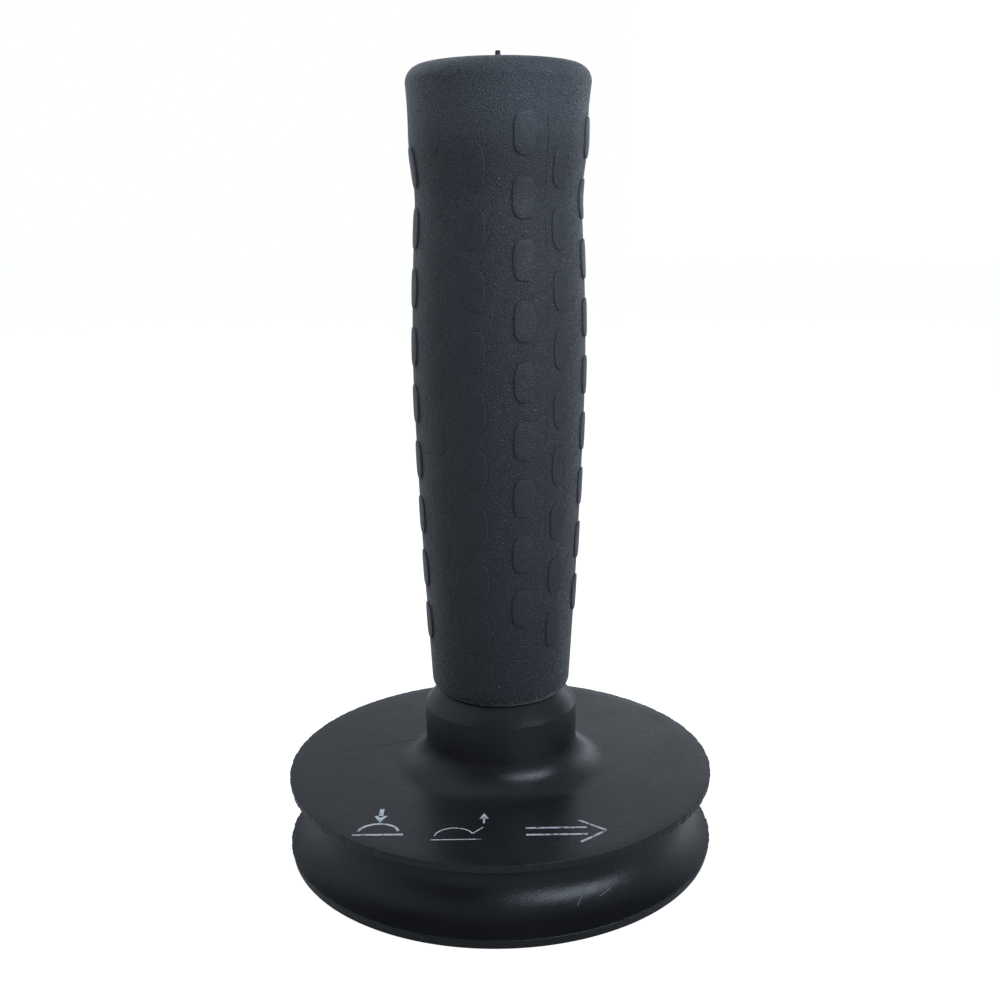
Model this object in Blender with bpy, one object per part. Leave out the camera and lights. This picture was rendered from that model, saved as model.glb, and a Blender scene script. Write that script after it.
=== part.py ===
"""Standing support handle: a padded grip on a rubber suction base.

The base is pressed down on a smooth surface, its hollow underside holds it there, and the user steadies
themself on the upright grip. Units are metres, +Z is up, and the origin is the middle of the foot ring.
"""
import bmesh
import bpy
import math
from mathutils import Matrix, Vector

# Clearance between pieces that touch
GAP = 0.0003

# Handle tube
TUBE_RADIUS = 0.0110
TUBE_WALL = 0.0015

# Rubber base, outside
LIP_RADIUS = 0.0450
LIP_EDGE = 0.00195
FOOT_INSET = 0.0005
FOOT_WIDTH = 0.0020
FLANGE_RADIUS = 0.0447
FLANGE_TOP = 0.01685
FLANGE_EDGE = 0.00165
FLANGE_DRAFT = 0.0002
LIP_FLARE_RADIUS = 0.0083
UNDERCUT_RADIUS = 0.0045
NECK_WALL = 0.0046
NECK_TOP = 0.03045
NECK_FILLET = 0.0060

# Rubber base, inside
CAVITY_HEIGHT = 0.0046
CAVITY_SHOULDER = 0.0200
SKIN_UNDER_HEAD = 0.0022
SOCKET_DEPTH = 0.0130

# Anchor plate and stud moulded into the rubber
PLATE_RADIUS = 0.0280
PLATE_THICKNESS = 0.0020
KEY_HOLES = 6
KEY_HOLE_RADIUS = 0.0030
KEY_CIRCLE_RADIUS = 0.0185
STUD_RADIUS = 0.0040
STUD_HEAD_RADIUS = 0.0080
STUD_HEAD_THICKNESS = 0.0020
STUD_BEYOND_NUT = 0.0024
STUD_CHAMFER = 0.0008

# Fasteners that clamp the tube to the stud
SEAT_WASHER_THICKNESS = 0.0015
BUSH_LENGTH = 0.0200
BUSH_CHAMFER = 0.0010
CLAMP_WASHER_RADIUS = 0.0080
CLAMP_WASHER_THICKNESS = 0.0016
SPRING_WASHER_RADIUS = 0.0066
SPRING_WASHER_THICKNESS = 0.0016
SPRING_WASHER_RISE = 0.0004
SPRING_WASHER_CUT = math.radians(14)
NUT_ACROSS_FLATS = 0.0130
NUT_HEIGHT = 0.0065
NUT_CHAMFER = 0.0007
SCREW_RADIUS = 0.0025
SCREW_LENGTH = 0.0055
SCREW_HEIGHT_IN_BUSH = 0.0158
SCREW_SOCKET_RADIUS = 0.0013
SCREW_SOCKET_DEPTH = 0.0022

# Plug in the tube's upper end
PLUG_HEAD_THICKNESS = 0.0016
PLUG_BODY_LENGTH = 0.0110
PLUG_RIB_HEIGHT = 0.0006
PLUG_RIBS = 3
PLUG_WELL_RADIUS = 0.0060
PLUG_WELL_DEPTH = 0.0080

# Collar between neck and grip: a low dome, and on it the ring that the grip stands over
COLLAR_DOME_HEIGHT = 0.00165
COLLAR_SEAT_WALL = 0.0011
COLLAR_HEIGHT = 0.00275

# Grip: heights are from its lower end, walls are over its bore
GRIP_LENGTH = 0.1244
GRIP_CAP = 0.0025
GRIP_END_WALL = 0.0029
PALM_WALL = 0.00585
PALM_HEIGHT = 0.0688
WAIST_WALL = 0.00478
WAIST_HEIGHT = 0.0992
FLARE_WALL = 0.0059
FLARE_HEIGHT = 0.1118
RIM_WALL = 0.0063
GRIP_END_CORNER = 0.0028
GRIP_TOP_CORNER = 0.0032
GRIP_CROWN = 0.0008
PALM_SWELL_POWER = 1.4
PALM_FALL_POWER = 1.8
RIM_EASE_POWER = 2.0

# Sprue nib left in the middle of the grip's top
NIB_RADIUS = 0.00055
NIB_HEIGHT = 0.0019

# Raised pads on the grip
PAD_COLUMNS = 12
PAD_PITCH = 0.01119
PAD_FIRST_ANGLE = math.radians(16.2)
PAD_TOP_MARGIN = 0.0133
PAD_END_MARGIN = 0.0148
PAD_HALF_WIDTH = 0.00215
PAD_HALF_HEIGHT = 0.0038
PAD_RISE = 0.0003
PAD_ROOT = 0.0006
PAD_TIP_SHARE = 0.45
PAD_SHOULDER_SHARE = 0.60

# Facets of the turned pieces
BASE_SEGMENTS = 64
GRIP_SEGMENTS = 48
SMALL_SEGMENTS = 32
SCREW_SEGMENTS = 16
KEY_SEGMENTS = 12
ARC_STEPS = 6
GRIP_STEPS = 24

# Radii that follow from the tube
BORE_RADIUS = TUBE_RADIUS + GAP
TUBE_INNER_RADIUS = TUBE_RADIUS - TUBE_WALL
NECK_RADIUS = BORE_RADIUS + NECK_WALL
STUD_HOLE_RADIUS = STUD_RADIUS + GAP
GRIP_END_RADIUS = BORE_RADIUS + GRIP_END_WALL

# Heights of the stack, from the foot ring up
HEAD_POCKET_BOTTOM = CAVITY_HEIGHT + SKIN_UNDER_HEAD
STUD_BOTTOM = HEAD_POCKET_BOTTOM + GAP
PLATE_POCKET_BOTTOM = STUD_BOTTOM + STUD_HEAD_THICKNESS
PLATE_BOTTOM = PLATE_POCKET_BOTTOM + GAP
PLATE_POCKET_TOP = PLATE_BOTTOM + PLATE_THICKNESS + GAP
SOCKET_FLOOR = NECK_TOP - SOCKET_DEPTH
SEAT_WASHER_BOTTOM = SOCKET_FLOOR + GAP
TUBE_BOTTOM = SEAT_WASHER_BOTTOM + SEAT_WASHER_THICKNESS + GAP
BUSH_TOP = TUBE_BOTTOM + BUSH_LENGTH
CLAMP_WASHER_BOTTOM = BUSH_TOP + GAP
SPRING_WASHER_BOTTOM = CLAMP_WASHER_BOTTOM + CLAMP_WASHER_THICKNESS + GAP
NUT_BOTTOM = SPRING_WASHER_BOTTOM + SPRING_WASHER_THICKNESS + SPRING_WASHER_RISE + GAP
STUD_TOP = NUT_BOTTOM + NUT_HEIGHT + STUD_BEYOND_NUT
SCREW_Z = TUBE_BOTTOM + SCREW_HEIGHT_IN_BUSH
COLLAR_BOTTOM = NECK_TOP + GAP
GRIP_BOTTOM = COLLAR_BOTTOM + COLLAR_HEIGHT + GAP
GRIP_INNER_TOP = GRIP_LENGTH - GRIP_CAP
PLUG_SEAT = GRIP_BOTTOM + GRIP_INNER_TOP - GAP - PLUG_HEAD_THICKNESS
TUBE_TOP = PLUG_SEAT - GAP


def clear_scene():
    """Take every object out of the open file."""
    for item in list(bpy.data.objects):
        bpy.data.objects.remove(item, do_unlink=True)


def make_material(name, color, roughness, metallic=0.0):
    """A Principled BSDF material."""
    material = bpy.data.materials.new(name)
    material.use_nodes = True
    shader = material.node_tree.nodes["Principled BSDF"]
    shader.inputs["Base Color"].default_value = (*color, 1.0)
    shader.inputs["Roughness"].default_value = roughness
    shader.inputs["Metallic"].default_value = metallic
    return material


def add_object(name, shape, material, z=0.0, parent=None):
    """Turn a bmesh into a smooth-shaded object at height z."""
    bmesh.ops.recalc_face_normals(shape, faces=shape.faces)
    mesh = bpy.data.meshes.new(name)
    shape.to_mesh(mesh)
    shape.free()
    mesh.materials.append(material)
    mesh.shade_smooth()
    mesh.set_sharp_from_angle(angle=math.radians(30))
    item = bpy.data.objects.new(name, mesh)
    bpy.context.collection.objects.link(item)
    item.location = (0.0, 0.0, z)
    if parent is not None:
        item.parent = parent
        item.matrix_parent_inverse = Matrix.Translation(-parent.location)
    return item


def arc(centre_r, centre_z, radius_r, radius_z, start, end, steps=ARC_STEPS):
    """Points along an arc of an ellipse, angles in degrees from the outward direction."""
    points = []
    for step in range(steps + 1):
        angle = math.radians(start + (end - start) * step / steps)
        points.append((centre_r + radius_r * math.cos(angle), centre_z + radius_z * math.sin(angle)))
    return points


def turned(outline, segments, start_angle=0.0):
    """Spin an outline of (radius, height) points round Z; one that leaves the axis returns to it."""
    shape = bmesh.new()
    corners = [shape.verts.new((r, 0.0, z)) for r, z in outline]
    pairs = list(zip(corners, corners[1:]))
    if outline[0][0] > 0.0 or outline[-1][0] > 0.0:
        pairs.append((corners[-1], corners[0]))
    edges = [shape.edges.new(pair) for pair in pairs]
    turn = Matrix.Rotation(start_angle, 3, "Z")
    bmesh.ops.rotate(shape, verts=corners, cent=(0.0, 0.0, 0.0), matrix=turn)
    bmesh.ops.spin(shape, geom=corners + edges, cent=(0.0, 0.0, 0.0), axis=(0.0, 0.0, 1.0),
                   angle=math.tau, steps=segments, use_merge=True)
    bmesh.ops.remove_doubles(shape, verts=shape.verts, dist=1e-6)
    return shape


def rod(name, radius, length, location, direction="Z", segments=SMALL_SEGMENTS):
    """A wire-framed guide cylinder for cutting or joining, its middle at the location."""
    shape = bmesh.new()
    bmesh.ops.create_cone(shape, cap_ends=True, segments=segments, radius1=radius, radius2=radius,
                          depth=length)
    if direction == "X":
        bmesh.ops.rotate(shape, verts=shape.verts, matrix=Matrix.Rotation(math.pi / 2, 3, "Y"))
    bmesh.ops.translate(shape, verts=shape.verts, vec=Vector(location))
    return guide(name, shape)


def guide(name, shape):
    """A hidden helper object, kept out of the finished model."""
    bmesh.ops.recalc_face_normals(shape, faces=shape.faces)
    mesh = bpy.data.meshes.new(name)
    shape.to_mesh(mesh)
    shape.free()
    item = bpy.data.objects.new(name, mesh)
    bpy.context.collection.objects.link(item)
    item.display_type = "WIRE"
    item.hide_render = True
    return item


def combine(item, helper, operation):
    """A live Boolean of an object with a guide that moves with it."""
    helper.parent = item
    modifier = item.modifiers.new(helper.name, "BOOLEAN")
    modifier.operation = operation
    modifier.solver = "EXACT"
    modifier.object = helper


def groove_outline():
    """The finger groove: the lip flares up and in to the waist, and a hollow turns out under the flange."""
    waist_height = LIP_EDGE + LIP_FLARE_RADIUS
    hollow_centre = LIP_RADIUS - LIP_FLARE_RADIUS + UNDERCUT_RADIUS
    outline = arc(LIP_RADIUS, waist_height, LIP_FLARE_RADIUS, LIP_FLARE_RADIUS, 270, 180, 2 * ARC_STEPS)
    outline += arc(hollow_centre, waist_height, UNDERCUT_RADIUS, UNDERCUT_RADIUS, 180, 90)[1:]
    return outline + [(FLANGE_RADIUS - FLANGE_DRAFT, FLANGE_TOP - FLANGE_EDGE)]


def key_place(number, z):
    """Centre of one of the key holes round the anchor plate."""
    angle = math.tau * number / KEY_HOLES
    return (KEY_CIRCLE_RADIUS * math.cos(angle), KEY_CIRCLE_RADIUS * math.sin(angle), z)


def make_suction_base(rubber):
    """Lip, groove, flange and neck in one rubber moulding, with the cavity, plate pocket and socket."""
    foot_outer = LIP_RADIUS - FOOT_INSET
    foot_inner = foot_outer - FOOT_WIDTH
    ceiling_radius = foot_inner - CAVITY_SHOULDER
    outline = [(0.0, CAVITY_HEIGHT)]
    outline += arc(ceiling_radius, 0.0, CAVITY_SHOULDER, CAVITY_HEIGHT, 90, 0)
    outline += [(foot_outer, 0.0)]
    outline += groove_outline()
    outline += [(FLANGE_RADIUS, FLANGE_TOP)]
    outline += arc(NECK_RADIUS + NECK_FILLET, FLANGE_TOP + NECK_FILLET, NECK_FILLET, NECK_FILLET, 270, 180)
    outline += [(NECK_RADIUS, NECK_TOP), (BORE_RADIUS, NECK_TOP), (BORE_RADIUS, SOCKET_FLOOR),
                (STUD_HOLE_RADIUS, SOCKET_FLOOR), (STUD_HOLE_RADIUS, PLATE_POCKET_TOP),
                (PLATE_RADIUS + GAP, PLATE_POCKET_TOP), (PLATE_RADIUS + GAP, PLATE_POCKET_BOTTOM),
                (STUD_HEAD_RADIUS + GAP, PLATE_POCKET_BOTTOM), (STUD_HEAD_RADIUS + GAP, HEAD_POCKET_BOTTOM),
                (0.0, HEAD_POCKET_BOTTOM)]
    base = add_object("suction_base", turned(outline, BASE_SEGMENTS), rubber)
    pillar_reach = PLATE_POCKET_TOP - PLATE_POCKET_BOTTOM + 2 * GAP
    pillar_middle = (PLATE_POCKET_TOP + PLATE_POCKET_BOTTOM) / 2
    for number in range(KEY_HOLES):
        place = key_place(number, pillar_middle)
        pillar = rod(f"key_pillar_{number}", KEY_HOLE_RADIUS - GAP, pillar_reach, place,
                     segments=KEY_SEGMENTS)
        combine(base, pillar, "UNION")
    return base


def make_anchor_plate(steel, parent):
    """Steel disc that the rubber grips through a ring of key holes."""
    outline = [(STUD_HOLE_RADIUS, 0.0), (PLATE_RADIUS, 0.0), (PLATE_RADIUS, PLATE_THICKNESS),
               (STUD_HOLE_RADIUS, PLATE_THICKNESS)]
    plate = add_object("anchor_plate", turned(outline, SMALL_SEGMENTS), steel, PLATE_BOTTOM, parent)
    for number in range(KEY_HOLES):
        place = key_place(number, PLATE_THICKNESS / 2)
        cutter = rod(f"key_hole_{number}", KEY_HOLE_RADIUS, 2 * PLATE_THICKNESS, place, segments=KEY_SEGMENTS)
        combine(plate, cutter, "DIFFERENCE")
    return plate


def make_anchor_stud(steel, parent):
    """Stud with a flat head under the anchor plate."""
    length = STUD_TOP - STUD_BOTTOM
    outline = [(0.0, 0.0), (STUD_HEAD_RADIUS, 0.0), (STUD_HEAD_RADIUS, STUD_HEAD_THICKNESS),
               (STUD_RADIUS, STUD_HEAD_THICKNESS), (STUD_RADIUS, length - STUD_CHAMFER),
               (STUD_RADIUS - STUD_CHAMFER, length), (0.0, length)]
    return add_object("anchor_stud", turned(outline, SMALL_SEGMENTS), steel, STUD_BOTTOM, parent)


def make_washer(name, inner, outer, thickness, steel, z, parent):
    """A flat washer."""
    outline = [(inner, 0.0), (outer, 0.0), (outer, thickness), (inner, thickness)]
    return add_object(name, turned(outline, SMALL_SEGMENTS), steel, z, parent)


def make_spring_washer(steel, parent):
    """A split washer: a square section carried once round, rising a little from end to end."""
    shape = bmesh.new()
    section = [(STUD_HOLE_RADIUS, 0.0), (SPRING_WASHER_RADIUS, 0.0),
               (SPRING_WASHER_RADIUS, SPRING_WASHER_THICKNESS), (STUD_HOLE_RADIUS, SPRING_WASHER_THICKNESS)]
    rings = []
    for step in range(SMALL_SEGMENTS + 1):
        share = step / SMALL_SEGMENTS
        angle = SPRING_WASHER_CUT / 2 + (math.tau - SPRING_WASHER_CUT) * share
        rise = SPRING_WASHER_RISE * share
        rings.append([shape.verts.new((r * math.cos(angle), r * math.sin(angle), z + rise))
                      for r, z in section])
    for low, high in zip(rings, rings[1:]):
        for side in range(4):
            after = (side + 1) % 4
            shape.faces.new((low[side], low[after], high[after], high[side]))
    shape.faces.new(rings[0])
    shape.faces.new(rings[-1])
    return add_object("spring_washer", shape, steel, SPRING_WASHER_BOTTOM, parent)


def make_clamp_nut(steel, parent):
    """Hexagon nut, its corners turned down at both ends."""
    corner = NUT_ACROSS_FLATS / 2 / math.cos(math.pi / 6)
    outline = [(STUD_HOLE_RADIUS, 0.0), (corner - NUT_CHAMFER * 2, 0.0), (corner, NUT_CHAMFER),
               (corner, NUT_HEIGHT - NUT_CHAMFER), (corner - NUT_CHAMFER * 2, NUT_HEIGHT),
               (STUD_HOLE_RADIUS, NUT_HEIGHT)]
    nut = add_object("clamp_nut", turned(outline, SMALL_SEGMENTS), steel, NUT_BOTTOM, parent)
    hexagon = rod("nut_hexagon", corner, 3 * NUT_HEIGHT, (0.0, 0.0, NUT_HEIGHT / 2), segments=6)
    combine(nut, hexagon, "INTERSECT")
    return nut


def make_tube_bush(steel, parent):
    """Thick bush in the tube's lower end, drilled for the stud and for the set screw."""
    outer = TUBE_INNER_RADIUS - GAP
    outline = [(STUD_HOLE_RADIUS, 0.0), (outer, 0.0), (outer, BUSH_LENGTH - BUSH_CHAMFER),
               (outer - BUSH_CHAMFER, BUSH_LENGTH), (STUD_HOLE_RADIUS, BUSH_LENGTH)]
    bush = add_object("tube_bush", turned(outline, SMALL_SEGMENTS), steel, TUBE_BOTTOM, parent)
    inner_end = TUBE_RADIUS - GAP - SCREW_LENGTH - GAP
    reach = TUBE_RADIUS
    middle = (inner_end + reach / 2, 0.0, SCREW_HEIGHT_IN_BUSH)
    cutter = rod("bush_screw_hole", SCREW_RADIUS + GAP, reach, middle, "X", SCREW_SEGMENTS)
    combine(bush, cutter, "DIFFERENCE")
    return bush


def make_handle_tube(steel, parent):
    """Steel tube that carries the grip."""
    length = TUBE_TOP - TUBE_BOTTOM
    outline = [(TUBE_INNER_RADIUS, 0.0), (TUBE_RADIUS, 0.0), (TUBE_RADIUS, length),
               (TUBE_INNER_RADIUS, length)]
    tube = add_object("handle_tube", turned(outline, GRIP_SEGMENTS), steel, TUBE_BOTTOM, parent)
    middle = (TUBE_RADIUS, 0.0, SCREW_HEIGHT_IN_BUSH)
    cutter = rod("tube_screw_hole", SCREW_RADIUS + GAP, TUBE_RADIUS, middle, "X", SCREW_SEGMENTS)
    combine(tube, cutter, "DIFFERENCE")
    return tube


def make_bush_screw(steel, parent):
    """Set screw through the tube's wall into the bush, with a hexagon socket in its outer end."""
    outline = [(0.0, 0.0), (SCREW_RADIUS, 0.0), (SCREW_RADIUS, SCREW_LENGTH), (0.0, SCREW_LENGTH)]
    screw = add_object("bush_screw", turned(outline, SCREW_SEGMENTS), steel, 0.0, parent)
    socket = rod("screw_socket", SCREW_SOCKET_RADIUS, 2 * SCREW_SOCKET_DEPTH, (0.0, 0.0, SCREW_LENGTH),
                 segments=6)
    combine(screw, socket, "DIFFERENCE")
    screw.rotation_euler = (0.0, math.pi / 2, 0.0)
    screw.location = (TUBE_RADIUS - GAP - SCREW_LENGTH, 0.0, SCREW_Z)
    return screw


def make_tube_plug(plastic, parent):
    """Ribbed plug that closes the tube's upper end, hollow from below."""
    body = TUBE_INNER_RADIUS - GAP - PLUG_RIB_HEIGHT
    tip = -PLUG_BODY_LENGTH
    outline = [(0.0, PLUG_HEAD_THICKNESS), (TUBE_RADIUS, PLUG_HEAD_THICKNESS), (TUBE_RADIUS, 0.0),
               (body, 0.0)]
    spacing = PLUG_BODY_LENGTH / (PLUG_RIBS + 1)
    for rib in range(1, PLUG_RIBS + 1):
        middle = -spacing * rib
        outline += [(body, middle + PLUG_RIB_HEIGHT), (body + PLUG_RIB_HEIGHT, middle),
                    (body, middle - PLUG_RIB_HEIGHT)]
    outline += [(body, tip), (PLUG_WELL_RADIUS, tip), (PLUG_WELL_RADIUS, tip + PLUG_WELL_DEPTH),
                (0.0, tip + PLUG_WELL_DEPTH)]
    return add_object("tube_end_plug", turned(outline, SMALL_SEGMENTS), plastic, PLUG_SEAT, parent)


def make_neck_collar(plastic, parent):
    """Low domed ring round the tube, with a raised seat in its middle under the grip's lower end."""
    seat_radius = BORE_RADIUS + COLLAR_SEAT_WALL
    outline = [(BORE_RADIUS, 0.0)]
    outline += arc(seat_radius, 0.0, NECK_RADIUS - seat_radius, COLLAR_DOME_HEIGHT, 0, 90)
    outline += [(seat_radius, COLLAR_HEIGHT), (BORE_RADIUS, COLLAR_HEIGHT)]
    return add_object("neck_collar", turned(outline, GRIP_SEGMENTS), plastic, COLLAR_BOTTOM, parent)


def grip_radius(height):
    """The grip's radius: it swells to the palm, falls to the waist, flares and runs up to its rim."""
    palm = BORE_RADIUS + PALM_WALL
    waist = BORE_RADIUS + WAIST_WALL
    flare = BORE_RADIUS + FLARE_WALL
    rim = BORE_RADIUS + RIM_WALL
    if height < PALM_HEIGHT:
        share = 1 - max(height, 0.0) / PALM_HEIGHT
        return palm - (palm - GRIP_END_RADIUS) * share ** PALM_SWELL_POWER
    if height < WAIST_HEIGHT:
        share = (height - PALM_HEIGHT) / (WAIST_HEIGHT - PALM_HEIGHT)
        return palm - (palm - waist) * share ** PALM_FALL_POWER
    if height < FLARE_HEIGHT:
        share = (height - WAIST_HEIGHT) / (FLARE_HEIGHT - WAIST_HEIGHT)
        return waist + (flare - waist) * share * share * (3 - 2 * share)
    share = min((height - FLARE_HEIGHT) / (GRIP_LENGTH - GRIP_TOP_CORNER - FLARE_HEIGHT), 1.0)
    return flare + (rim - flare) * share ** RIM_EASE_POWER


def grip_outline():
    """Outline of the grip from the blind end of its bore, round the lower end, to the tip of its nib."""
    end = grip_radius(GRIP_END_CORNER)
    rim = BORE_RADIUS + RIM_WALL
    shoulder = GRIP_LENGTH - GRIP_TOP_CORNER
    crown = GRIP_LENGTH + GRIP_CROWN
    nib_top = crown + NIB_HEIGHT
    outline = [(0.0, GRIP_INNER_TOP), (BORE_RADIUS, GRIP_INNER_TOP), (BORE_RADIUS, 0.0)]
    outline += arc(end - GRIP_END_CORNER, GRIP_END_CORNER, GRIP_END_CORNER, GRIP_END_CORNER, 270, 360, 4)
    for step in range(1, GRIP_STEPS):
        height = GRIP_END_CORNER + (shoulder - GRIP_END_CORNER) * step / GRIP_STEPS
        outline.append((grip_radius(height), height))
    outline += arc(rim - GRIP_TOP_CORNER, shoulder, GRIP_TOP_CORNER, GRIP_TOP_CORNER, 0, 90, 5)
    outline += [((rim - GRIP_TOP_CORNER) / 2, GRIP_LENGTH + GRIP_CROWN * 3 / 4), (NIB_RADIUS, crown),
                (NIB_RADIUS, nib_top - NIB_RADIUS / 2), (NIB_RADIUS / 2, nib_top), (0.0, nib_top)]
    return outline


def add_pad(shape, angle, height):
    """One raised pad: four rows of three points, narrower at its ends, following the grip's own curve."""
    shoulder = PAD_SHOULDER_SHARE
    rows = [(-1.0, PAD_TIP_SHARE), (-shoulder, 1.0), (shoulder, 1.0), (1.0, PAD_TIP_SHARE)]
    skins = []
    for offset in (-PAD_ROOT, PAD_RISE):
        skin = []
        for along, width in rows:
            level = height + PAD_HALF_HEIGHT * along
            radius = grip_radius(level)
            row = []
            for side in (-1, 0, 1):
                turn = angle + side * width * PAD_HALF_WIDTH / radius
                reach = radius + offset
                row.append(shape.verts.new((reach * math.sin(turn), -reach * math.cos(turn), level)))
            skin.append(row)
        skins.append(skin)
    for skin in skins:
        for low, high in zip(skin, skin[1:]):
            for side in (0, 1):
                shape.faces.new((low[side], low[side + 1], high[side + 1], high[side]))
    rims = []
    for skin in skins:
        right = [row[-1] for row in skin[1:-1]]
        left = [row[0] for row in skin[-2:0:-1]]
        rims.append(skin[0] + right + skin[-1][::-1] + left)
    count = len(rims[0])
    for place in range(count):
        after = (place + 1) % count
        shape.faces.new((rims[0][place], rims[0][after], rims[1][after], rims[1][place]))


def pad_places():
    """Angle and height of every pad; each second column stands half a pitch lower."""
    places = []
    for column in range(PAD_COLUMNS):
        angle = PAD_FIRST_ANGLE + math.tau * column / PAD_COLUMNS
        height = GRIP_LENGTH - PAD_TOP_MARGIN - (column % 2) * PAD_PITCH / 2
        while height >= PAD_END_MARGIN:
            places.append((angle, height))
            height -= PAD_PITCH
    return places


def make_grip(vinyl, parent):
    """Soft moulded grip, closed at the top, its raised pads joined on."""
    shape = turned(grip_outline(), GRIP_SEGMENTS, PAD_FIRST_ANGLE)
    grip = add_object("grip_sleeve", shape, vinyl, GRIP_BOTTOM, parent)
    pads = bmesh.new()
    for angle, height in pad_places():
        add_pad(pads, angle, height)
    combine(grip, guide("grip_pads", pads), "UNION")
    return grip


def main():
    clear_scene()
    rubber = make_material("base_rubber", (0.022, 0.023, 0.026), 0.45)
    vinyl = make_material("grip_vinyl", (0.030, 0.032, 0.037), 0.60)
    plastic = make_material("black_plastic", (0.028, 0.030, 0.034), 0.50)
    steel = make_material("zinc_plated_steel", (0.62, 0.63, 0.65), 0.35, 1.0)
    slide = bpy.data.objects.new("press_slide", None)
    bpy.context.collection.objects.link(slide)
    slide.location = (0.0, 0.0, NECK_TOP)
    bpy.context.view_layer.update()

    make_suction_base(rubber)
    make_anchor_plate(steel, slide)
    make_anchor_stud(steel, slide)
    make_washer("seat_washer", STUD_HOLE_RADIUS, TUBE_RADIUS, SEAT_WASHER_THICKNESS, steel,
                SEAT_WASHER_BOTTOM, slide)
    make_handle_tube(steel, slide)
    make_tube_bush(steel, slide)
    make_bush_screw(steel, slide)
    make_washer("clamp_washer", STUD_HOLE_RADIUS, CLAMP_WASHER_RADIUS, CLAMP_WASHER_THICKNESS, steel,
                CLAMP_WASHER_BOTTOM, slide)
    make_spring_washer(steel, slide)
    make_clamp_nut(steel, slide)
    make_tube_plug(plastic, slide)
    make_neck_collar(plastic, slide)
    make_grip(vinyl, slide)


main()
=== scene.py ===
import bmesh
import bpy
import math
import numpy as np
from mathutils import Matrix, Vector


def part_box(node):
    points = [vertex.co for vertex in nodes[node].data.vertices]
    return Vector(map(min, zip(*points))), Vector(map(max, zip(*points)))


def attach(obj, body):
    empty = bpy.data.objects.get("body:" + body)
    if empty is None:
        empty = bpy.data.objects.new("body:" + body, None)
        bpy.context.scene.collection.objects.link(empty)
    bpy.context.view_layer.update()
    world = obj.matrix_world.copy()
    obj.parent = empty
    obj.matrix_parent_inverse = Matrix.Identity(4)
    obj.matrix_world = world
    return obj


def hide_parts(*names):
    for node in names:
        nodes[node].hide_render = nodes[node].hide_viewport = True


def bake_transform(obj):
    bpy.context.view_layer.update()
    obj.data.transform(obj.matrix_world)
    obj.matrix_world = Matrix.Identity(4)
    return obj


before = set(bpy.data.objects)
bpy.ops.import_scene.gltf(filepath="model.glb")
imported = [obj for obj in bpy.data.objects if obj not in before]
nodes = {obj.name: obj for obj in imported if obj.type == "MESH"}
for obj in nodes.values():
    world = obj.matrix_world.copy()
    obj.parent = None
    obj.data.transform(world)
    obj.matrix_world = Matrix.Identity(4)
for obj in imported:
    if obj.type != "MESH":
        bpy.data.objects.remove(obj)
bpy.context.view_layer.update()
mm = 0.001
bpy.context.scene.view_settings.view_transform = "Standard"


def inMillimetres(box):
    # both corners of a box, from metres to mm
    return [np.array(corner) / mm for corner in box]


# surfaces

def putMesh(name, points, faces, material, smoothAngle=40.0):
    # one object from an (n, 3) array of points in metres and a list of face arrays, with doubles merged
    mesh = bpy.data.meshes.new(name)
    mesh.from_pydata(points.tolist(), [], np.concatenate(faces).tolist())
    form = bmesh.new()
    form.from_mesh(mesh)
    bmesh.ops.remove_doubles(form, verts=form.verts, dist=1e-7)
    bmesh.ops.recalc_face_normals(form, faces=form.faces)
    form.to_mesh(mesh)
    form.free()
    mesh.materials.append(material)
    mesh.shade_smooth()
    mesh.set_sharp_from_angle(angle=math.radians(smoothAngle))
    piece = bpy.data.objects.new(name, mesh)
    bpy.context.scene.collection.objects.link(piece)
    return piece


def gridFaces(rows, columns, closedRows=False):
    # quads (i, j), (i, j+1), (i+1, j+1), (i+1, j) of a grid of points: every row closes on itself, and the last
    # row joins the first one where closedRows is on
    i = np.arange(rows if closedRows else rows - 1)[:, None]
    j = np.arange(columns)[None, :]
    nextI, nextJ = (i + 1) % rows, (j + 1) % columns
    corners = [i * columns + j, i * columns + nextJ, nextI * columns + nextJ, nextI * columns + j]
    return np.stack(corners, -1).reshape(-1, 4)


def rounded(corners, steps=5):
    # an outline through (r, z, ease) corners: a lies before a corner c and b after it, each as far off as the
    # corner's ease, and between them the outline is (1-t)^2 a + 2t(1-t) c + t^2 b for t from 0 to 1
    spots = np.array([corner[:2] for corner in corners], float)
    outline = []
    for number, (r, z, ease) in enumerate(corners):
        if ease == 0 or number in (0, len(corners) - 1):
            outline.append([[r, z]])
            continue
        here = spots[number]
        before, after = spots[number - 1] - here, spots[number + 1] - here
        reach = min(ease, np.linalg.norm(before) * 0.49, np.linalg.norm(after) * 0.49)
        a = here + before / np.linalg.norm(before) * reach
        b = here + after / np.linalg.norm(after) * reach
        t = np.linspace(0, 1, steps + 1)[:, None]
        outline.append((1 - t) ** 2 * a + 2 * t * (1 - t) * here + t ** 2 * b)
    return np.concatenate(outline)


def bow(centreR, centreZ, radiusR, radiusZ, start, end, steps):
    # an arc of an ellipse: centre plus the radii times cosine and sine, from one angle to another
    angle = np.radians(np.linspace(start, end, steps + 1))
    return np.stack([centreR + radiusR * np.cos(angle), centreZ + radiusZ * np.sin(angle)], -1)


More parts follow.
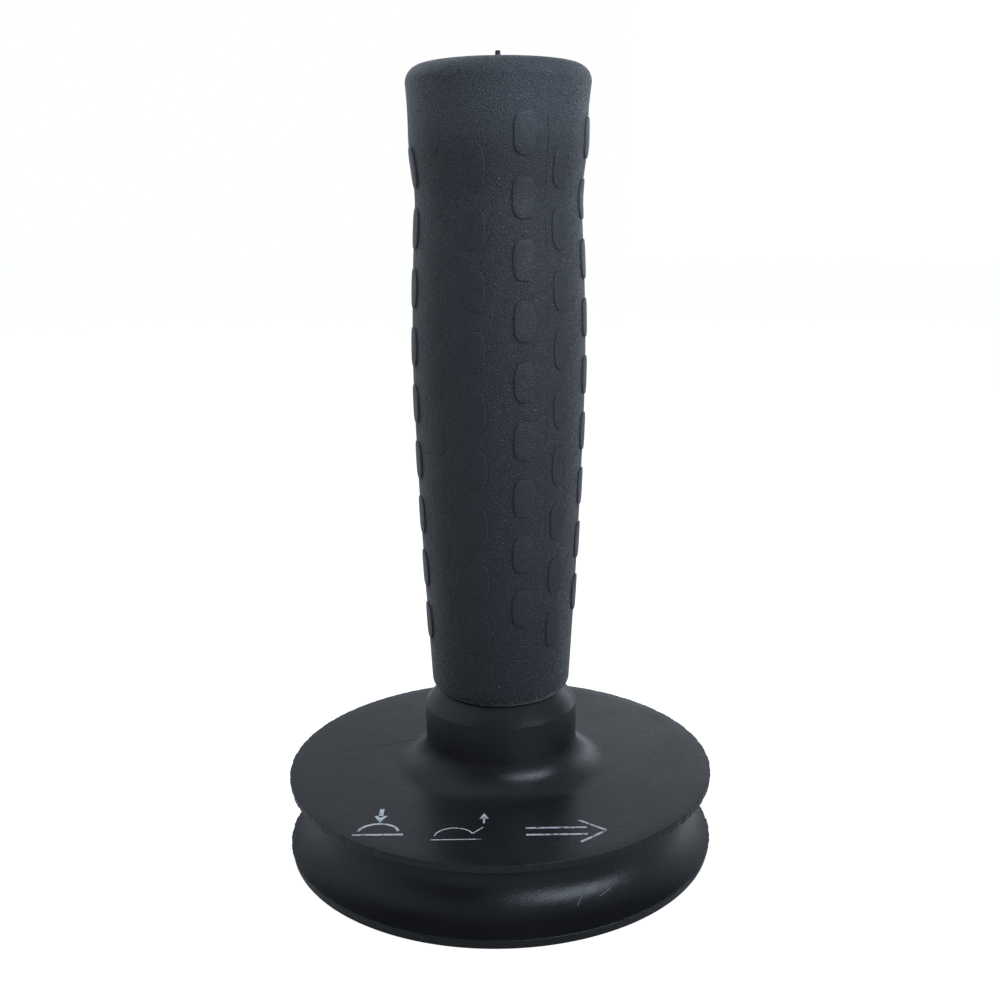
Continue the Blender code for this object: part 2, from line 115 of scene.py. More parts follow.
def lathe(name, outline, material, around, turn=0.0, ragged=None, closed=False):
    # a surface of revolution: outline point (r, z) in mm goes to x = r sin a, y = -r cos a for a round the axis,
    # and ragged(a, r, z) gives what is added to r and z in mm first
    angle = turn + np.linspace(0, 2 * np.pi, around, endpoint=False)[None, :]
    r, z = outline[:, :1], outline[:, 1:]
    if ragged is not None:
        dr, dz = ragged(angle, r, z)
        r, z = r + dr, z + dz
    r, z, angle = np.broadcast_arrays(r, z, angle)
    points = np.stack([r * np.sin(angle), -r * np.cos(angle), z], -1).reshape(-1, 3) * mm
    return putMesh(name, points, [gridFaces(len(outline), around, closedRows=closed)], material)


# shader helpers

def link(tree, source, target):
    tree.links.new(source, target)


def setOrLink(tree, socket, value):
    # gives an input a plain value, or links it where the value is another socket
    if isinstance(value, bpy.types.NodeSocket):
        link(tree, value, socket)
    else:
        socket.default_value = value


def addNode(tree, kind, settings=None, **inputs):
    # a node whose inputs are given by socket name with spaces left out, or by number as in0, in1, in2
    made = tree.nodes.new("ShaderNode" + kind)
    for key, value in (settings or {}).items():
        setattr(made, key, value)
    for key, value in inputs.items():
        if key.startswith("in") and key[2:].isdigit():
            socket = made.inputs[int(key[2:])]
        else:
            socket = [item for item in made.inputs if item.name.replace(" ", "") == key and item.enabled][0]
        setOrLink(tree, socket, value)
    return made


def calc(tree, operation, a, b=0.0, c=0.0, clamp=False):
    # one Math node
    settings = {"operation": operation, "use_clamp": clamp}
    return addNode(tree, "Math", settings, in0=a, in1=b, in2=c).outputs[0]


def vectorCalc(tree, operation, a, b=None, scale=None):
    # one Vector Math node; gives a number for a dot product or a distance, and otherwise a vector
    made = addNode(tree, "VectorMath", {"operation": operation}, in0=a)
    if b is not None:
        setOrLink(tree, made.inputs[1], b)
    if scale is not None:
        setOrLink(tree, made.inputs["Scale"], scale)
    return made.outputs["Value" if operation in ("DOT_PRODUCT", "DISTANCE") else "Vector"]


def ramp(tree, value, low, high, toLow=0.0, toHigh=1.0, smooth=True):
    # a Map Range from low..high to toLow..toHigh, eased at both ends unless smooth is off
    kind = "SMOOTHSTEP" if smooth else "LINEAR"
    made = addNode(tree, "MapRange", {"interpolation_type": kind})
    for socket, amount in zip(made.inputs, (value, low, high, toLow, toHigh)):
        setOrLink(tree, socket, amount)
    return made.outputs[0]


def mixColors(tree, factor, a, b):
    # a Mix node between two colours, each one a colour or a socket
    made = addNode(tree, "Mix", {"data_type": "RGBA", "clamp_factor": True})
    for socket, amount in ((made.inputs[0], factor), (made.inputs[6], a), (made.inputs[7], b)):
        setOrLink(tree, socket, amount)
    return made.outputs[2]


def addBump(tree, shader, height, depth):
    # bends the shader's normal by a height that is depth metres deep
    bump = addNode(tree, "Bump", Height=height, Distance=depth, Strength=1.0)
    link(tree, bump.outputs[0], shader.inputs["Normal"])


def newGroup(name, inputs, outputs):
    # an empty node group with its inputs and float outputs, and its two end nodes
    group = bpy.data.node_groups.new(name, "ShaderNodeTree")
    group.interface.new_socket(name="Place", in_out="INPUT", socket_type="NodeSocketVector")
    for label, value in inputs.items():
        kind = "NodeSocketVector" if isinstance(value, tuple) else "NodeSocketFloat"
        group.interface.new_socket(name=label, in_out="INPUT", socket_type=kind).default_value = value
    for label in outputs:
        group.interface.new_socket(name=label, in_out="OUTPUT", socket_type="NodeSocketFloat")
    return group, group.nodes.new("NodeGroupInput"), group.nodes.new("NodeGroupOutput")


def useGroup(tree, group, place, **values):
    # places a group in a material and sets its inputs
    made = tree.nodes.new("ShaderNodeGroup")
    made.node_tree = group
    link(tree, place, made.inputs["Place"])
    for label, value in values.items():
        made.inputs[label].default_value = value
    return made


def newMaterial(name, roughness, specular=0.5, metallic=0.0):
    # a Principled material with its constants on the shader's own sockets; gives tree, shader and coordinates
    material = bpy.data.materials.new(name)
    material.use_nodes = True
    tree = material.node_tree
    shader = tree.nodes["Principled BSDF"]
    shader.inputs["Roughness"].default_value = roughness
    shader.inputs["Specular IOR Level"].default_value = specular
    shader.inputs["Metallic"].default_value = metallic
    place = tree.nodes.new("ShaderNodeTexCoord").outputs["Object"]
    return material, tree, shader, place


# effects shared by the materials

def makeLeatherGrain():
    # small uneven cells with sunk borders, as on leather-grained vinyl: the height rises with the distance from a
    # cell's edge, and Crease is 1 on the edges
    group, given, result = newGroup("leatherGrain", {"Cell": 0.8, "Warp": 0.5}, ["Height", "Crease"])
    place = given.outputs["Place"]
    wander = addNode(group, "TexNoise", Vector=place, Scale=700.0, Detail=2.0)
    shift = vectorCalc(group, "SUBTRACT", wander.outputs["Color"], (0.5, 0.5, 0.5))
    amount = calc(group, "MULTIPLY", given.outputs["Warp"], 0.002)  # a Warp of 1 shifts a cell by up to 1 mm
    warped = vectorCalc(group, "ADD", place, vectorCalc(group, "SCALE", shift, scale=amount))
    cells = addNode(group, "TexVoronoi", {"feature": "DISTANCE_TO_EDGE"}, Vector=warped)
    link(group, calc(group, "DIVIDE", 1000.0, given.outputs["Cell"]), cells.inputs["Scale"])  # cells per metre
    rise = ramp(group, cells.outputs["Distance"], 0.0, 0.28)
    fine = addNode(group, "TexNoise", Vector=place, Scale=3800.0, Detail=3.0)
    link(group, calc(group, "MULTIPLY_ADD", fine.outputs["Fac"], 0.45, rise), result.inputs["Height"])
    link(group, ramp(group, cells.outputs["Distance"], 0.0, 0.12, 1.0, 0.0), result.inputs["Crease"])
    return group


def makeMouldedSkin():
    # soft unevenness and fine pitting of a moulded surface, and a blotchy mask for its sheen
    group, given, result = newGroup("mouldedSkin", {"Size": 1.0}, ["Height", "Blotch"])
    place = given.outputs["Place"]
    scale = calc(group, "DIVIDE", 1.0, given.outputs["Size"])
    wide = addNode(group, "TexNoise", Vector=place, Detail=4.0, Roughness=0.6)
    link(group, calc(group, "MULTIPLY", scale, 90.0), wide.inputs["Scale"])
    fine = addNode(group, "TexNoise", Vector=place, Detail=4.0, Roughness=0.65)
    link(group, calc(group, "MULTIPLY", scale, 2600.0), fine.inputs["Scale"])
    height = calc(group, "MULTIPLY_ADD", wide.outputs["Fac"], 1.5, fine.outputs["Fac"])
    link(group, height, result.inputs["Height"])
    link(group, ramp(group, wide.outputs["Fac"], 0.3, 0.7), result.inputs["Blotch"])
    return group


def makeDust():
    # sparse pale specks: the middles of a few large cells; Amount is the share of the cells that carry one
    group, given, result = newGroup("dust", {"Spacing": 3.0, "Speck": 0.1, "Amount": 0.2}, ["Mask"])
    cells = addNode(group, "TexVoronoi", {"feature": "F1"}, Vector=given.outputs["Place"], Randomness=1.0)
    link(group, calc(group, "DIVIDE", 1000.0, given.outputs["Spacing"]), cells.inputs["Scale"])  # cells per metre
    reach = calc(group, "DIVIDE", given.outputs["Speck"], given.outputs["Spacing"])
    near = calc(group, "LESS_THAN", cells.outputs["Distance"], reach)
    pick = addNode(group, "SeparateColor", in0=cells.outputs["Color"])
    chosen = calc(group, "LESS_THAN", pick.outputs[0], given.outputs["Amount"])
    link(group, calc(group, "MULTIPLY", near, chosen), result.inputs["Mask"])
    return group


def makeScuffs():
    # short fine scratches: thin bands of a stretched noise, kept where a second noise is high
    group, given, result = newGroup("scuffs", {"Amount": 0.5, "Turn": 0.6}, ["Mask"])
    place = given.outputs["Place"]
    turned = addNode(group, "VectorRotate", {"rotation_type": "Z_AXIS"}, in0=place)
    link(group, given.outputs["Turn"], turned.inputs["Angle"])
    stretch = addNode(group, "Mapping", Vector=turned.outputs[0], Scale=(1500.0, 160.0, 900.0))
    streak = addNode(group, "TexNoise", Vector=stretch.outputs[0], Scale=1.0, Detail=1.0)
    offset = calc(group, "ABSOLUTE", calc(group, "SUBTRACT", streak.outputs["Fac"], 0.5))
    thin = ramp(group, offset, 0.0, 0.012, 1.0, 0.0)
    patch = addNode(group, "TexNoise", Vector=place, Scale=110.0, Detail=2.0)
    both = calc(group, "MULTIPLY", thin, ramp(group, patch.outputs["Fac"], 0.60, 0.68))
    link(group, calc(group, "MULTIPLY", both, given.outputs["Amount"]), result.inputs["Mask"])
    return group


def makeMark():
    # one straight mark: with a from Start to End and p from Start to the place, t = p.a / a.a kept in 0..1,
    # and the mask falls from 1 to 0 as the distance |p - t a| goes from 0 to Width
    values = {"Start": (0.0, 0.0, 0.0), "End": (0.0, 0.0, 1.0), "Width": 0.0001}
    group, given, result = newGroup("mark", values, ["Mask"])
    along = vectorCalc(group, "SUBTRACT", given.outputs["End"], given.outputs["Start"])
    reach = vectorCalc(group, "SUBTRACT", given.outputs["Place"], given.outputs["Start"])
    dot = vectorCalc(group, "DOT_PRODUCT", reach, along)
    square = vectorCalc(group, "DOT_PRODUCT", along, along)
    t = calc(group, "DIVIDE", dot, square, clamp=True)
    off = vectorCalc(group, "DISTANCE", reach, vectorCalc(group, "SCALE", along, scale=t))
    link(group, ramp(group, off, 0.0, given.outputs["Width"], 1.0, 0.0), result.inputs["Mask"])
    return group


def marksAt(tree, place, marks):
    # the strongest of several marks, each (start, end, width) in mm
    total = 0.0
    for start, end, width in marks:
        made = useGroup(tree, mark, place, Start=tuple(c * mm for c in start), End=tuple(c * mm for c in end),
                        Width=width * mm)
        total = calc(tree, "MAXIMUM", made.outputs["Mask"], total)
    return total


leatherGrain = makeLeatherGrain()
mouldedSkin = makeMouldedSkin()
dust = makeDust()
scuffs = makeScuffs()
mark = makeMark()
print("effects made")


# materials, with lengths in mm and heights above the floor in metres

gripVinyl = {
    # the crease colour is painted shade in the sunk grain borders and along the sunk parting line
    "color": (0.0232, 0.0247, 0.0284, 1), "creaseColor": (0.0183, 0.0197, 0.0229, 1),
    "roughness": 0.48, "roughnessBelow": 0.05, "roughnessAbove": 0.06, "specular": 0.45,
    "sheen": 0.36, "sheenRoughness": 0.32,
    "grainCell": 0.54, "grainWarp": 0.5, "grainDepth": 0.080, "padGrainDepth": 0.048, "creaseShare": 0.6,
    "seamAngle": 31.5, "seamHalfWidth": 0.10, "seamDepth": 0.14, "seamNoise": 160.0, "seamBreaks": (0.44, 0.60),
    "seamFaint": 0.10,
    # painted light: a paler top where more light falls, and a painted highlight band under the rim
    "paleColor": (0.0517, 0.0551, 0.0624, 1), "paleSpan": (0.035, 0.160), "lowPale": 0.0, "highPale": 0.95,
    "bandColor": (0.088, 0.095, 0.108, 1), "bandPale": 0.65, "bandRise": (0.139, 0.152),
    "bandFade": (0.1565, 0.1592),
    "dustColor": (0.35, 0.34, 0.32, 1), "dustSpacing": 6.0, "dustSize": 0.07, "dustAmount": 0.03,
    "specks": ((-7.43, -14.21, 68.24), (11.75, -9.59, 50.8), (-0.4, -14.5, 38.95),
               (0.1, -16.35, 137.04), (-13.81, -8.69, 136.72)),
    "speckRadius": 0.13,
}


def makeGripVinyl(name, grainDepth):
    # matt soft vinyl: leather grain, a parting line on two sides and a few specks of dust, with painted shade in
    # the sunk grain and seam and painted light towards the top
    s = gripVinyl
    material, tree, shader, place = newMaterial(name, s["roughness"], s["specular"])
    shader.inputs["Sheen Weight"].default_value = s["sheen"]
    shader.inputs["Sheen Roughness"].default_value = s["sheenRoughness"]
    grain = useGroup(tree, leatherGrain, place, Cell=s["grainCell"], Warp=s["grainWarp"])
    skin = useGroup(tree, mouldedSkin, place, Size=1.0)
    specks = useGroup(tree, dust, place, Spacing=s["dustSpacing"], Speck=s["dustSize"], Amount=s["dustAmount"])
    split = addNode(tree, "SeparateXYZ", Vector=place)
    height = split.outputs["Z"]
    # distance from the parting plane, which holds the axis and stands at the seam's angle from the front
    angle = math.radians(s["seamAngle"])
    across = calc(tree, "MULTIPLY_ADD", split.outputs["Y"], math.sin(angle),
                  calc(tree, "MULTIPLY", split.outputs["X"], math.cos(angle)))
    offset = calc(tree, "ABSOLUTE", across)
    line = ramp(tree, offset, 0.0, s["seamHalfWidth"] * 2 * mm, 1.0, 0.0)
    broken = addNode(tree, "TexNoise", Vector=place, Scale=s["seamNoise"], Detail=3.0)
    seam = calc(tree, "MULTIPLY", line, ramp(tree, broken.outputs["Fac"], *s["seamBreaks"], s["seamFaint"], 1.0))
    # painted shade: the sunk grain borders and the sunk parting line are darkened in colour
    sunk = calc(tree, "MAXIMUM", calc(tree, "MULTIPLY", grain.outputs["Crease"], s["creaseShare"]), seam)
    # painted light: the colour grows paler towards the top, where more light falls, and a painted highlight lies in
    # a band under the rim
    pale = ramp(tree, height, *s["paleSpan"], s["lowPale"], s["highPale"], smooth=False)
    paintedLightColor = mixColors(tree, pale, s["color"], s["paleColor"])
    rise = ramp(tree, height, *s["bandRise"], 0.0, s["bandPale"])
    fade = ramp(tree, height, *s["bandFade"], 1.0, 0.0)
    paintedLightColor = mixColors(tree, calc(tree, "MULTIPLY", rise, fade), paintedLightColor, s["bandColor"])
    plain = mixColors(tree, sunk, paintedLightColor, s["creaseColor"])
    lint = marksAt(tree, place, [((x, y, z), (x + 0.03, y, z), s["speckRadius"]) for x, y, z in s["specks"]])
    dusty = calc(tree, "MAXIMUM", specks.outputs["Mask"], lint)
    link(tree, mixColors(tree, dusty, plain, s["dustColor"]), shader.inputs["Base Color"])
    link(tree, ramp(tree, skin.outputs["Blotch"], 0.0, 1.0, s["roughness"] - s["roughnessBelow"],
                    s["roughness"] + s["roughnessAbove"]), shader.inputs["Roughness"])
    depth = calc(tree, "MULTIPLY_ADD", grain.outputs["Height"], grainDepth,
                 calc(tree, "MULTIPLY", seam, -s["seamDepth"]))
    addBump(tree, shader, depth, mm)
    return material


baseRubber = {
    "color": (0.0117, 0.0118, 0.0133, 1), "paleColor": (0.0134, 0.0135, 0.0151, 1),
    "roughness": 0.28, "roughnessBelow": 0.04, "roughnessAbove": 0.05, "specular": 0.42, "pitDepth": 0.050,
    "scuffColor": (0.22, 0.22, 0.24, 1), "wornRoughness": 0.25, "wornDepth": 0.03,
    "dustColor": (0.40, 0.39, 0.37, 1), "dustSpacing": 5.0, "dustSize": 0.06, "dustAmount": 0.03,
    "scratches": (((14.29, -36.83, 4.03), (15.12, -35.44, 5.05), 0.13),
                  ((18.63, -34.42, 4.37), (20.89, -32.53, 4.89), 0.12),
                  ((17.91, -33.76, 5.47), (19.93, -32.42, 5.69), 0.07),
                  ((15.4, -35.9, 4.25), (16.5, -35.6, 4.05), 0.07)),
    "creases": (((-38.15, 2.66, 16.85), (-27.5, 6.3, 16.85), 0.30),
                ((-27.5, 6.3, 16.85), (-17.05, 10.9, 16.85), 0.34)),
}


def makeBaseRubber():
    # satin moulded rubber: faint blotches, fine pits, a few scratches on the lip, a flow crease and a little dust
    s = baseRubber
    material, tree, shader, place = newMaterial("base_rubber_satin", s["roughness"], s["specular"])
    skin = useGroup(tree, mouldedSkin, place, Size=1.0)
    scratches = marksAt(tree, place, s["scratches"])
    creases = marksAt(tree, place, s["creases"])
    specks = useGroup(tree, dust, place, Spacing=s["dustSpacing"], Speck=s["dustSize"], Amount=s["dustAmount"])
    plain = mixColors(tree, skin.outputs["Blotch"], s["color"], s["paleColor"])
    marked = mixColors(tree, scratches, plain, s["scuffColor"])
    link(tree, mixColors(tree, specks.outputs["Mask"], marked, s["dustColor"]), shader.inputs["Base Color"])
    gloss = ramp(tree, skin.outputs["Blotch"], 0.0, 1.0, s["roughness"] - s["roughnessBelow"],
                 s["roughness"] + s["roughnessAbove"])
    worn = calc(tree, "MAXIMUM", scratches, creases)
    link(tree, calc(tree, "MULTIPLY_ADD", worn, s["wornRoughness"], gloss), shader.inputs["Roughness"])
    depth = calc(tree, "MULTIPLY_ADD", skin.outputs["Height"], s["pitDepth"],
                 calc(tree, "MULTIPLY", worn, -s["wornDepth"]))
    addBump(tree, shader, depth, mm)
    return material


blackPlastic = {
    "roughnessBelow": 0.04, "roughnessAbove": 0.05, "blotchPale": 1.3, "skinDepth": 0.010,
    "collar": {"color": (0.0091, 0.0093, 0.0105), "roughness": 0.27},
    "plug": {"color": (0.030, 0.031, 0.034), "roughness": 0.48},
}


def makeBlackPlastic(name, color, roughness):
    # hard moulded plastic with a fine skin
    s = blackPlastic
    material, tree, shader, place = newMaterial(name, roughness)
    skin = useGroup(tree, mouldedSkin, place, Size=1.0)
    blotch = skin.outputs["Blotch"]
    paler = (*[c * s["blotchPale"] for c in color], 1)
    link(tree, mixColors(tree, blotch, (*color, 1), paler), shader.inputs["Base Color"])
    link(tree, ramp(tree, blotch, 0.0, 1.0, roughness - s["roughnessBelow"], roughness + s["roughnessAbove"]),
         shader.inputs["Roughness"])
    addBump(tree, shader, skin.outputs["Height"], s["skinDepth"] * mm)
    return material


zincPlating = {
    "dull": (0.56, 0.58, 0.61, 1), "bright": (0.70, 0.71, 0.72, 1), "scuffColor": (0.42, 0.42, 0.43, 1),
    "roughness": 0.32, "glossy": 0.26, "cloudy": 0.40, "skinSize": 0.6, "skinDepth": 0.006,
    "scuffAmount": 0.5, "scuffTurn": 0.3,
}


def makeZincPlating():
    # bright zinc plating: pale blue-grey metal with a cloudy bloom and fine scuffs
    s = zincPlating
    material, tree, shader, place = newMaterial("zinc_plating", s["roughness"], metallic=1.0)
    skin = useGroup(tree, mouldedSkin, place, Size=s["skinSize"])
    marks = useGroup(tree, scuffs, place, Amount=s["scuffAmount"], Turn=s["scuffTurn"])
    plain = mixColors(tree, skin.outputs["Blotch"], s["dull"], s["bright"])
    link(tree, mixColors(tree, marks.outputs["Mask"], plain, s["scuffColor"]), shader.inputs["Base Color"])
    link(tree, ramp(tree, skin.outputs["Blotch"], 0.0, 1.0, s["glossy"], s["cloudy"]), shader.inputs["Roughness"])
    addBump(tree, shader, skin.outputs["Height"], s["skinDepth"] * mm)
    return material


silverInk = {
    "wornColor": (0.12, 0.12, 0.13, 1), "color": (0.50, 0.51, 0.54, 1), "wear": (0.36, 0.52), "wearNoise": 900.0,
    "roughness": 0.5, "rubbed": 0.55, "whole": 0.42, "depth": 0.01,
}


def makeSilverInk():
    # thin silver-grey print, worn through in places
    s = silverInk
    material, tree, shader, place = newMaterial("silver_ink", s["roughness"])
    wear = addNode(tree, "TexNoise", Vector=place, Scale=s["wearNoise"], Detail=4.0, Roughness=0.7)
    kept = ramp(tree, wear.outputs["Fac"], *s["wear"])
    link(tree, mixColors(tree, kept, s["wornColor"], s["color"]), shader.inputs["Base Color"])
    link(tree, ramp(tree, wear.outputs["Fac"], 0.3, 0.7, s["rubbed"], s["whole"]), shader.inputs["Roughness"])
    addBump(tree, shader, wear.outputs["Fac"], s["depth"] * mm)
    return material


vinyl = makeGripVinyl("grip_vinyl_grained", gripVinyl["grainDepth"])
padVinyl = makeGripVinyl("grip_vinyl_pads", gripVinyl["padGrainDepth"])
rubber = makeBaseRubber()
collarPlastic = makeBlackPlastic("collar_plastic", **blackPlastic["collar"])
plugPlastic = makeBlackPlastic("plug_plastic", **blackPlastic["plug"])
zinc = makeZincPlating()
ink = makeSilverInk()
print("materials made")


# rubber base, in mm

plateLow, plateHigh = inMillimetres(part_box("anchor_plate"))
studLow = inMillimetres(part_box("anchor_stud"))[0]
seatLow, seatHigh = inMillimetres(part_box("seat_washer"))
baseHigh = inMillimetres(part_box("suction_base"))[1]

suctionBase = {
    "gap": 0.3, "lipRadius": baseHigh[0], "lipEdge": 1.95, "footInset": 0.5, "footWidth": 2.0,
    "flangeRadius": 44.7, "flangeTop": 16.85, "flangeEdge": 1.65, "flangeDraft": 0.2, "flareRadius": 8.3,
    "undercutRadius": 4.5, "neckRadius": 15.9, "neckTop": baseHigh[2], "neckFillet": 6.3, "cavityHeight": 4.6,
    "cavityShoulder": 20.0, "studHole": 4.3, "headRadius": 8.3, "edgeEase": 0.22, "around": 400,
    "rimWaves": ((37, 0.0, 1.0), (83, 1.3, 1.0), (127, 0.4, 1.2)), "rimDepth": 0.26, "rimReach": 0.8,
    "lipHeights": (0.5, 4.0), "flangeFrom": 14.0,
}


def makeSuctionBase():
    # the rubber moulding as one turned outline: cavity, foot, lip, groove, flange, neck, socket, plate pocket
    s = suctionBase
    ease, flare, undercut = s["edgeEase"], s["flareRadius"], s["undercutRadius"]
    foot = s["lipRadius"] - s["footInset"]
    ceiling = foot - s["footWidth"] - s["cavityShoulder"]
    low = np.array([s["lipRadius"], s["lipEdge"]])
    high = np.array([s["flangeRadius"] - s["flangeDraft"], s["flangeTop"] - s["flangeEdge"]])
    depth = s["lipEdge"] + flare
    groove = np.concatenate([
        bow(s["lipRadius"], depth, flare, flare, 270, 180, 44)[2:],
        bow(s["lipRadius"] - flare + undercut, depth, undercut, undercut, 180, 90, 20)[1:]])
    cavity = bow(ceiling, 0, s["cavityShoulder"], s["cavityHeight"], 90, 0, 24)
    footEdge = rounded([(*cavity[-1], 0), (foot, 0, ease), (*low, ease * 1.3), (*groove[0], 0)])[1:-1]
    rim = rounded([(*groove[-1], 0), (*high, ease * 0.8), (s["flangeRadius"], s["flangeTop"], ease * 0.8),
                   (s["flangeRadius"] - 3, s["flangeTop"], 0)])[1:]
    plain = np.stack([np.linspace(s["flangeRadius"] - 5, s["neckRadius"] + s["neckFillet"] + 1, 14),
                      np.full(14, s["flangeTop"])], -1)
    fillet = bow(s["neckRadius"] + s["neckFillet"], s["flangeTop"] + s["neckFillet"], s["neckFillet"],
                 s["neckFillet"], 270, 180, 18)
    bore, pocket = seatHigh[0] + s["gap"], plateHigh[0] + s["gap"]
    seat, plateTop = seatLow[2] - s["gap"], plateHigh[2] + s["gap"]
    plateFoot, studFoot = plateLow[2] - s["gap"], studLow[2] - s["gap"]
    inside = rounded([
        (*fillet[-1], 0), (s["neckRadius"], s["neckTop"], 0.05), (bore, s["neckTop"], 0.30), (bore, seat, 0.3),
        (s["studHole"], seat, 0.2), (s["studHole"], plateTop, 0.2), (pocket, plateTop, 0.3),
        (pocket, plateFoot, 0.3), (s["headRadius"], plateFoot, 0.2), (s["headRadius"], studFoot, 0.3),
        (0, studFoot, 0)])[1:]
    outline = np.concatenate([[[0, s["cavityHeight"]]], cavity, footEdge, groove, rim, plain, fillet, inside])

    def ragged(angle, r, z):
        # trimmed rims: pushed in by rimDepth |w| exp(-(d / rimReach)^2), with d the distance from the rim's radius
        # and w the mean of sine waves round the axis, each (waves in a turn, start, size)
        waves = [size * np.sin(angle * count + start) for count, start, size in s["rimWaves"]]
        lipFrom, lipTo = s["lipHeights"]
        onLip = np.exp(-((r - s["lipRadius"]) / s["rimReach"]) ** 2) * (z > lipFrom) * (z < lipTo)
        onFlange = np.exp(-((r - s["flangeRadius"]) / s["rimReach"]) ** 2) * (z > s["flangeFrom"])
        push = -np.abs(sum(waves) / len(waves)) * s["rimDepth"] * (onLip + onFlange)
        return push, 0 * push
    piece = lathe("rubber_base", outline, rubber, s["around"], ragged=ragged)
    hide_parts("suction_base")
    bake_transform(piece)
    return piece


makeSuctionBase()
print("rubber base made")


# generic use signs printed on the flange: press down, lift the rim, and an arrow along it, in mm

flangePrint = {
    "level": 0.012, "thickness": 0.02, "wide": 0.56, "narrow": 0.26,
    "pressAt": (-23.4, -28.3), "liftAt": (-8.6, -31.0), "arrowAt": (4.6, -32.2),
}


def stroke(path, width):
    # a flat printed line: point p with normal n gives p - n w/2 and p + n w/2 at the ink's underside and top
    path = np.array(path, float)
    ahead = np.gradient(path, axis=0)
    ahead /= np.linalg.norm(ahead, axis=1, keepdims=True)
    side = np.stack([-ahead[:, 1], ahead[:, 0]], -1) * np.reshape(width, (-1, 1)) / 2
    low = np.full((len(path), 1), suctionBase["flangeTop"] + flangePrint["level"])
    high = low + flangePrint["thickness"]
    ring = [np.hstack([path - side, low]), np.hstack([path + side, low]), np.hstack([path + side, high]),
            np.hstack([path - side, high])]
    points = np.stack(ring, 1).reshape(-1, 3)
    last = len(points) - 1
    ends = np.array([[0, 1, 2, 3], [last, last - 1, last - 2, last - 3]])
    return points, np.concatenate([gridFaces(len(path), 4), ends])


def makeFlangePrint():
    # every sign is a few strokes around its own middle (x, y), and an arrowhead is a stroke that narrows to a point
    s = flangePrint
    wide, narrow = s["wide"], s["narrow"]
    x, y = s["pressAt"]
    strokes = [
        stroke([(x - 4.8, y - 4.4), (x + 4.8, y - 4.4)], wide),
        stroke(bow(x, y - 3.5, 3.8, 3.3, 8, 172, 20), wide),
        stroke([(x, y + 5.8), (x, y + 2.6)], wide * 1.5),
        stroke([(x, y + 3.0), (x, y + 0.4)], (2.6, 0.05))]
    x, y = s["liftAt"]
    strokes += [
        stroke([(x - 4.8, y - 3.9), (x + 4.8, y - 3.9)], narrow),
        stroke(bow(x - 0.4, y - 2.9, 3.7, 3.4, 20, 172, 20), narrow),
        stroke([(x + 3.2, y - 1.6), (x + 5.0, y + 0.6)], narrow),
        stroke([(x + 5.2, y + 2.2), (x + 5.2, y + 4.4)], narrow * 1.4),
        stroke([(x + 5.2, y + 4.0), (x + 5.2, y + 6.2)], (1.8, 0.05))]
    x, y = s["arrowAt"]
    strokes += [
        stroke([(x, y + 1.3), (x + 11.6, y + 1.3)], wide),
        stroke([(x, y - 1.3), (x + 11.6, y - 1.3)], wide),
        stroke([(x + 10.2, y + 4.2), (x + 15.2, y + 0.1)], wide),
        stroke([(x + 10.2, y - 4.2), (x + 15.2, y - 0.1)], wide)]
    points, faces, start = [], [], 0
    for strokePoints, strokeFaces in strokes:
        points.append(strokePoints)
        faces.append(strokeFaces + start)
        start += len(strokePoints)
    piece = putMesh("flange_print", np.concatenate(points) * mm, faces, ink)
    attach(piece, "handle")
    return piece


makeFlangePrint()
print("print made")


# collar, in mm

gripLow = inMillimetres(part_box("grip_sleeve"))[0]
collarLow, collarHigh = inMillimetres(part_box("neck_collar"))
neckCollar = {
    "dropToNeck": 0.27, "outerInset": 0.02, "edgeEase": 0.03, "around": 180, "steps": 8,
    "shoulder": ((15.88, -3.28, 0.14), (14.90, -1.98, 1.00), (13.70, -0.66, 0.80), (12.80, 0.33, 0.35)),
}


def makeNeckCollar():
    # a low ring: its shoulder's corners are (r, height over the grip's end, ease), the last one under the grip
    s = neckCollar
    bore = seatHigh[0] + suctionBase["gap"]
    bottom = collarLow[2] - s["dropToNeck"]
    outer = collarHigh[0] - s["outerInset"]
    shoulder = [(r, gripLow[2] + z, ease) for r, z, ease in s["shoulder"]]
    corners = [(bore, bottom, 0), (outer, bottom, s["edgeEase"]), *shoulder, (bore, shoulder[-1][1], 0)]
    piece = lathe("domed_collar", rounded(corners, s["steps"]), collarPlastic, s["around"], closed=True)
    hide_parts("neck_collar")
    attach(piece, "handle")
    return piece


makeNeckCollar()
print("collar made")


# grip, in mm above its own lower end

gripSleeve = {
    "length": 124.4, "bore": 11.3, "boreDepth": 121.9, "endRadius": 14.2, "palmRadius": 17.15, "palmHeight": 68.8,
    "waistRadius": 16.08, "waistHeight": 99.2, "flareRadius": 17.2, "flareHeight": 111.8, "rimRadius": 17.6,
    "endCorner": 2.8, "topCorner": 3.2, "crown": 0.8, "nibRadius": 0.55, "nibHeight": 1.9,
    "leanFrom": 4.0, "leanOut": 0.22, "leanUp": 0.28, "around": 180, "sideSteps": 230,
}
gripPads = {
    "columns": 12, "rows": 12, "firstAngle": 16.2, "pitch": 11.19, "topMargin": 13.3, "endMargin": 14.8,
    "halfWidth": 2.15, "halfHeight": 3.8, "squareness": 2.9, "points": 28, "rise": 0.34,
    "inset": (-0.04, 0.0, 0.02, 0.06, 0.15, 1.30), "lift": (-1.0, 0.10, 0.70, 0.94, 1.0, 1.02), "closing": 0.55,
    "columnShift": (0, -2.0, 0, 0, 0, 0, 0, 0, 0, 0, -3.0, -2.1),
    "columnRise": (1.0, 0.65, 1.0, 1.0, 1.0, 1.0, 1.0, 1.0, 1.0, 1.0, 0.3, 0.95),
    "flushLeft": (0, 0, 0, 0, 0, 0, 0, 0, 0, 0, 0.5, 0.95), "flushPower": 0.8,
}


